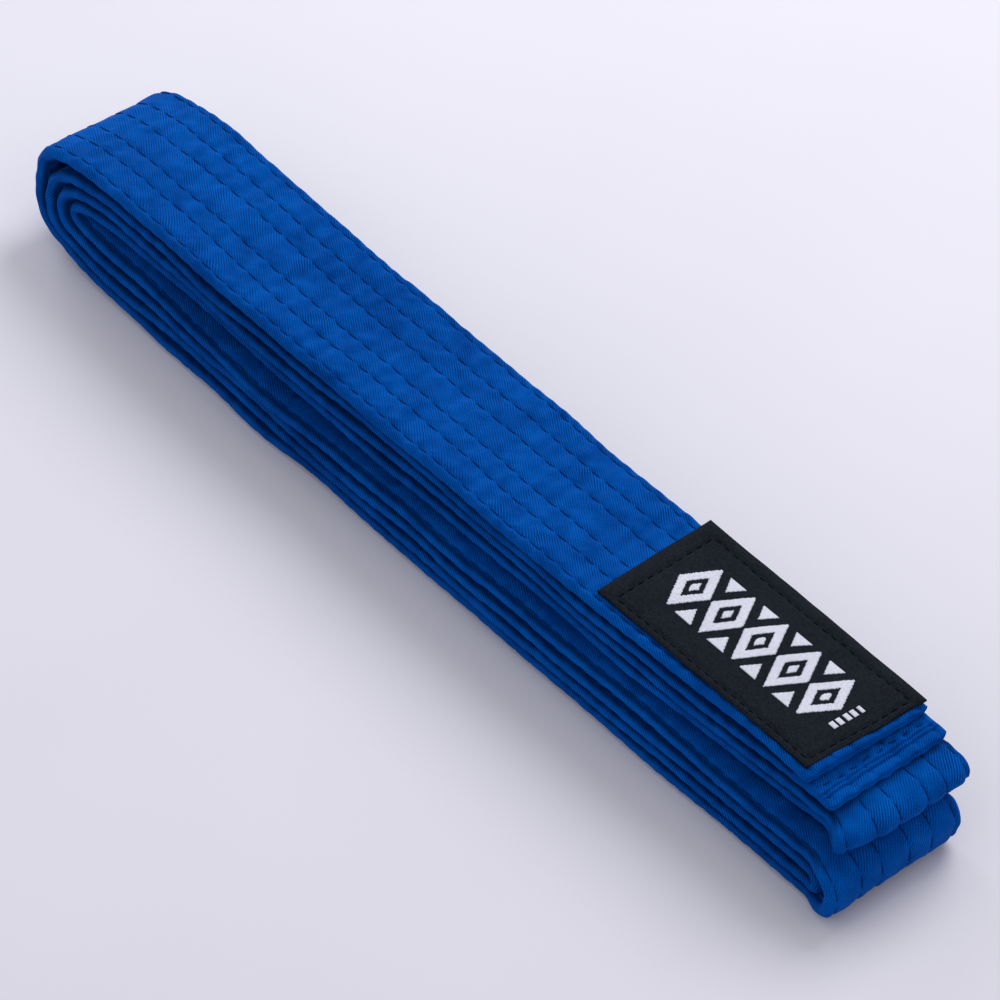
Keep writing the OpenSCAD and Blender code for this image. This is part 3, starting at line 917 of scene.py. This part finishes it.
free_ends_bend = ("upper_half", "free_ends", LIFT_X - LIFT_EARLY,
                  LIFT_X + LIFT_SOFTNESS - LIFT_EARLY)
label_end_bend = ("free_ends", "label_end", LABEL_LIFT_X, LABEL_LIFT_X + LIFT_SOFTNESS)
belt_stretch("Label_Layer", label_cut, s_out[0], ["Label_Layer", "Label_Middle"],
             free_ends_bend)
belt_stretch("Label_End", 0.0, label_cut, ["Label_End"], label_end_bend,
             caps=(LABEL_END_LIP, None), clear=(STITCH_LENGTH / 2 + LABEL_END_CLEAR, 0))
belt_stretch("Lower_Outer_Fold", s_in[0], s_out[1], ["Lower_Outer_Fold"], "lower_half")
belt_stretch("Upper_Fold", s_in[1], s_out[2], ["Upper_Fold"], "upper_half")
belt_stretch("Lower_Inner_Fold", s_in[2], s_out[3], ["Lower_Inner_Fold"], "lower_half")
belt_stretch("Plain_Layer", s_in[3], BELT_LENGTH, ["Plain_Layer", "Plain_End"],
             free_ends_bend, caps=(None, PLAIN_END_LIP),
             clear=(0, STITCH_LENGTH / 2 + HEM_SETBACK))


def hem_seam():
    """Stitches across the plain end's hem, on both faces."""
    stitches, ups = [], []
    local = ALONG_STITCH * HEM_PITCH * HEM_STITCH_SHARE
    for side in (1, -1):
        for k in range(HEM_STITCHES):
            y = (k + 0.5) * HEM_PITCH - HEM_SPAN / 2 + local
            s = BELT_LENGTH - HEM_SETBACK + HEM_WAVE * np.sin(y * HEM_WAVE_RATE)
            stitches.append(place(s, y, side * (swell(s, y, side) + HEM_SINK)))
            ups.append(side)
    return flat_seam("Plain_End_Hem_Stitches", stitches, ups)


hem = finish_piece(hem_seam(), blue_thread, ["Plain_End_Hem_Stitching"])
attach(hem, "free_ends")

# ------------------------ the woven label
LABEL_THICKNESS = 0.6
LABEL_X0, LABEL_X1 = from_axis(LABEL_LO.x), from_axis(LABEL_HI.x)
LABEL_HALF = (LABEL_HI.y - LABEL_LO.y) / MM / 2
LABEL_SHIFT = GROUP_SHIFT + 1.1  # sewn nearer the belt's +Y edge
LABEL_TOP = LABEL_HI.z / MM + 0.45  # the visual belt swells above its CAD solid
LABEL_DOME, DOME_OVER = 0.18, 6.0
LABEL_WAVES = ((101, 0.10, 26), (102, 0.04, 9))  # seed, height, size
LABEL_GROOVE, LABEL_GROOVE_HALF = 0.42, 0.6
LABEL_TURN, LABEL_TURN_OVER = 0.4, 1.6 # how far the label's edge turns down
LABEL_COLUMNS, LABEL_ROWS = 163, 77
LABEL_END_BOW, LABEL_SIDE_BOW = (0.175, 24), (0.175, 40)  # waviness of its outline
INSET_FAR, INSET_NEAR, INSET_RIGHT, INSET_LEFT = 5.4, 2.0, 3.7, 1.9


def from_border(x, y):
    """Distance inside the border stitching, negative outside it. y is across the label."""
    return np.minimum(np.minimum(x - (LABEL_X0 + INSET_FAR), LABEL_X1 - INSET_NEAR - x),
                      np.minimum(y + LABEL_HALF - INSET_LEFT, LABEL_HALF - INSET_RIGHT - y))


def label_height(x, y):
    """Top of the label: softly domed inside its stitching, turned down at the edges."""
    d = from_border(x, y)
    edge = np.minimum(np.minimum(x - LABEL_X0, LABEL_X1 - x), LABEL_HALF - np.abs(y))
    dome = LABEL_DOME * smooth(d / DOME_OVER)
    dome = dome + sum(ripple(seed, x, y, *wave) for seed, *wave in LABEL_WAVES)
    groove = LABEL_GROOVE * bump(d, LABEL_GROOVE_HALF)
    return LABEL_TOP + dome - groove - LABEL_TURN * (1 - smooth(edge / LABEL_TURN_OVER))


def label_point(x, y, z):
    """Label coordinates to model mm: moved to the belt's edge, near end slightly askew."""
    askew = LABEL_SKEW * y * (x - LABEL_X0) / (LABEL_X1 - LABEL_X0)
    return np.stack([x + askew, y + LABEL_SHIFT, z], -1)


def label_sheet():
    """The label's cloth: its top, the same below, and walls round the edge."""
    nx, ny = LABEL_COLUMNS, LABEL_ROWS
    u, v = np.linspace(0, 1, nx), np.linspace(-1, 1, ny)
    uu, vv = np.meshgrid(u, v, indexing="ij")
    x = LABEL_X0 + (LABEL_X1 - LABEL_X0) * uu
    y = vv * LABEL_HALF
    top = label_height(x, y)
    end_bow = np.abs(2 * uu - 1) ** 8 * ripple(103, y, 0, *LABEL_END_BOW)
    x = x + np.where(uu > 0.5, 1, -1) * end_bow
    y_out = y + vv**8 * np.sign(vv) * ripple(104, x, np.sign(vv) * 30, *LABEL_SIDE_BOW)
    points = label_point(x, y_out, top)
    under = points.copy()
    under[..., 2] -= LABEL_THICKNESS
    vertices = np.concatenate([points.reshape(-1, 3), under.reshape(-1, 3)])
    index = np.arange(nx * ny).reshape(nx, ny)
    low = index + nx * ny
    faces, down = cells(index), cells(low)[..., [0, 3, 2, 1]]
    loop = np.concatenate([index[:-1, 0], index[-1, :-1], index[:0:-1, -1], index[0, :0:-1]])
    after = np.roll(loop, -1)
    walls = np.stack([loop, loop + nx * ny, after + nx * ny, after], -1)
    every = np.concatenate([faces.reshape(-1, 4), down.reshape(-1, 4), walls]).tolist()
    return new_object("Woven_Label_Cloth", vertices, every)


YARN_CELL, YARN_RELIEF, YARN_SUNK = 0.34, 0.14, 0.15


def raised_pattern(name, inside, x0, x1, y0, y1):
    """Raised yarn wherever inside(x, y) holds, in yarn-sized steps as a loom makes them."""
    nx, ny = int((x1 - x0) / YARN_CELL), int((y1 - y0) / YARN_CELL)
    cx = x0 + (np.arange(nx) + 0.5) * YARN_CELL
    cy = y0 + (np.arange(ny) + 0.5) * YARN_CELL
    mask = inside(*np.meshgrid(cx, cy, indexing="ij"))
    gx, gy = np.meshgrid(x0 + np.arange(nx + 1) * YARN_CELL,
                         y0 + np.arange(ny + 1) * YARN_CELL, indexing="ij")
    top = label_point(gx, gy, label_height(gx, gy) + YARN_RELIEF).reshape(-1, 3)
    low = top.copy()
    low[:, 2] -= YARN_RELIEF + YARN_SUNK
    index = np.arange((nx + 1) * (ny + 1)).reshape(nx + 1, ny + 1)
    i, j = np.nonzero(mask)
    size = (nx + 1) * (ny + 1)
    a, b, c, d = index[i, j], index[i + 1, j], index[i + 1, j + 1], index[i, j + 1]
    faces = [np.stack([a, b, c, d], -1), np.stack([a, d, c, b], -1) + size]
    ring = np.pad(mask, 1)
    for di, dj, p, q in ((0, -1, a, b), (1, 0, b, c), (0, 1, c, d), (-1, 0, d, a)):
        open_side = ~ring[i + 1 + di, j + 1 + dj]
        faces.append(np.stack([p, p + size, q + size, q], -1)[open_side])
    faces = np.concatenate(faces)
    used, renumbered = np.unique(faces, return_inverse=True)
    vertices = np.concatenate([top, low])[used]
    return new_object(name, vertices, renumbered.reshape(-1, 4).tolist())


MOTIF_LO, MOTIF_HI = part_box("Label_Motif")
MARK_LO, MARK_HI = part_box("Label_Size_Mark")
LOZENGES = 5
LOZENGE_FILL, LOZENGE_HOLE, LOZENGE_DOT, FILLER = 0.94, 0.52, 0.22, 0.5
FILLER_ENDS = 0.3  # share of a lozenge at each end without triangles
motif_x0, motif_x1 = from_axis(MOTIF_LO.x), from_axis(MOTIF_HI.x)
motif_half = (MOTIF_HI.y - MOTIF_LO.y) / MM / 2


def in_motif(x, y):
    pitch = (motif_x1 - motif_x0) / (LOZENGES - 1 + LOZENGE_FILL)
    start = motif_x0 - pitch * (1 - LOZENGE_FILL) / 2
    t = (x - start) / pitch
    from_middle = np.abs(t - np.floor(t) - 0.5) * 2
    d = from_middle / LOZENGE_FILL + np.abs(y) / motif_half
    lozenges = ((d <= 1) & (d > LOZENGE_HOLE)) | (d <= LOZENGE_DOT)
    between = (t > FILLER_ENDS) & (t < LOZENGES - FILLER_ENDS)
    filler = (1 - from_middle) + (motif_half - np.abs(y)) / motif_half <= FILLER
    return lozenges | (filler & between & (np.abs(y) <= motif_half))


mark_x0, mark_x1 = from_axis(MARK_LO.x), from_axis(MARK_HI.x)
mark_y0, mark_y1 = MARK_LO.y / MM, MARK_HI.y / MM
BARS = 5
BAR_SHARE = 0.59


def in_marks(x, y):
    pitch = (mark_y1 - mark_y0) / (BARS - 1 + BAR_SHARE)
    return (y - mark_y0) / pitch % 1 <= BAR_SHARE


BORDER_DASH, BORDER_PITCH = 2.8, 3.3
BORDER_SINK = np.array([-0.2, 0.0, 0.04, 0.0, -0.2])
BORDER_WANDER = (0.12, 15)


def border_seam():
    """Dashes of black thread round the label, a little uneven, as sewn."""
    x0, x1 = LABEL_X0 + INSET_FAR, LABEL_X1 - INSET_NEAR
    y0, y1 = -LABEL_HALF + INSET_LEFT, LABEL_HALF - INSET_RIGHT
    corners = [(x0, y0), (x1, y0), (x1, y1), (x0, y1)]
    stitches = []
    local = ALONG_STITCH * BORDER_DASH
    for number, (p, q) in enumerate(zip(corners, corners[1:] + corners[:1])):
        p, q = np.array(p), np.array(q)
        span = np.linalg.norm(q - p)
        count = int(round(span / BORDER_PITCH))
        for k in range(count):
            t = ((k + 0.5) / count * span + local) / span
            xy = p + (q - p) * t[:, None]
            side_way = np.array([-(q - p)[1], (q - p)[0]]) / span
            wander = ripple(110 + number, t * span, 0, *BORDER_WANDER)
            xy = xy + side_way * wander[:, None]
            z = label_height(xy[:, 0], xy[:, 1]) + BORDER_SINK
            stitches.append(label_point(xy[:, 0], xy[:, 1], z))
    return flat_seam("Label_Border_Stitches", stitches, [1] * len(stitches),
                     BORDER_THREAD_WIDTH, BORDER_THREAD_HEIGHT)


cloth = finish_piece(label_sheet(), black_label, ["Woven_Label"])
seam = finish_piece(border_seam(), black_thread, ["Label_Border_Stitching"])
motif = finish_piece(raised_pattern("Label_Lozenge_Band", in_motif, motif_x0, motif_x1,
                                    -motif_half, motif_half),
                     white_yarn, ["Label_Motif"])
marks = finish_piece(raised_pattern("Label_Size_Bars", in_marks, mark_x0, mark_x1,
                                    mark_y0, mark_y1),
                     white_yarn, ["Label_Size_Mark"])
for obj in (cloth, seam, motif, marks):
    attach(obj, "label_end")

# ------------------------ stage
FLOOR_HALF = 2.5
floor_mesh = bpy.data.meshes.new("Pale_Floor")
floor_corners = [(x * FLOOR_HALF, y * FLOOR_HALF, 0)
                 for x, y in ((-1, -1), (1, -1), (1, 1), (-1, 1))]
floor_mesh.from_pydata(floor_corners, [], [(0, 1, 2, 3)])
floor = add_object("Pale_Floor", floor_mesh)
mat, nodes, links, shader = material("Pale_Floor")
g = Graph(nodes, links)
grain = g.noise(nodes.new("ShaderNodeTexCoord").outputs["Object"], 6, 3)
links.new(g.ramp(grain, [(0.3, (0.62, 0.612, 0.675)), (0.7, (0.645, 0.637, 0.70))]),
          shader.inputs["Base Color"])
settle(shader, Roughness=0.9, Specular_IOR_Level=0.1)
floor_mesh.materials.append(mat)


def soft_light(name, position, size, power, colour):
    """Round light that faces the origin."""
    data = bpy.data.lights.new(name, "AREA")
    data.shape, data.size, data.energy, data.color = "DISK", size, power, colour
    light = add_object(name, data)
    light.location = position
    light.rotation_euler = (-Vector(position)).to_track_quat("-Z", "Y").to_euler()


soft_light("Key_Light", (-0.12, 0.62, 0.76), 0.6, 5.5, (1.0, 0.99, 0.98))
soft_light("Far_Light", (-0.95, 0.25, 0.42), 0.4, 2.2, (0.97, 0.98, 1.0))
world = bpy.data.worlds.new("Soft_Room")
bpy.context.scene.world = world
world.use_nodes = True
settle(world.node_tree.nodes["Background"], Color=(0.96, 0.96, 1.0, 1), Strength=0.79)

# ------------------------ camera
AZIMUTH, ELEVATION = math.radians(49.4), math.radians(46.2)
DISTANCE = 3.0
PIXELS_PER_MM = 3.897  # at the aim point, in a 1000 px frame
SENSOR = 36.0
FAR_CLIP = 20.0
AIM = (149.0, -2.45, 18)  # mm from the far loops' axis
aim = to_world(*AIM)
back = Vector((math.sin(AZIMUTH) * math.cos(ELEVATION),
               -math.cos(AZIMUTH) * math.cos(ELEVATION), math.sin(ELEVATION)))
camera_data = bpy.data.cameras.new("Camera")
camera_data.sensor_width = SENSOR
camera_data.lens = PIXELS_PER_MM * DISTANCE / MM * SENSOR / 1000
camera_data.clip_end = FAR_CLIP
camera = add_object("Camera", camera_data)
camera.location = aim + back * DISTANCE
camera.rotation_euler = (-back).to_track_quat("-Z", "Y").to_euler()
bpy.context.scene.camera = camera
bpy.context.scene.view_settings.view_transform = "Standard"
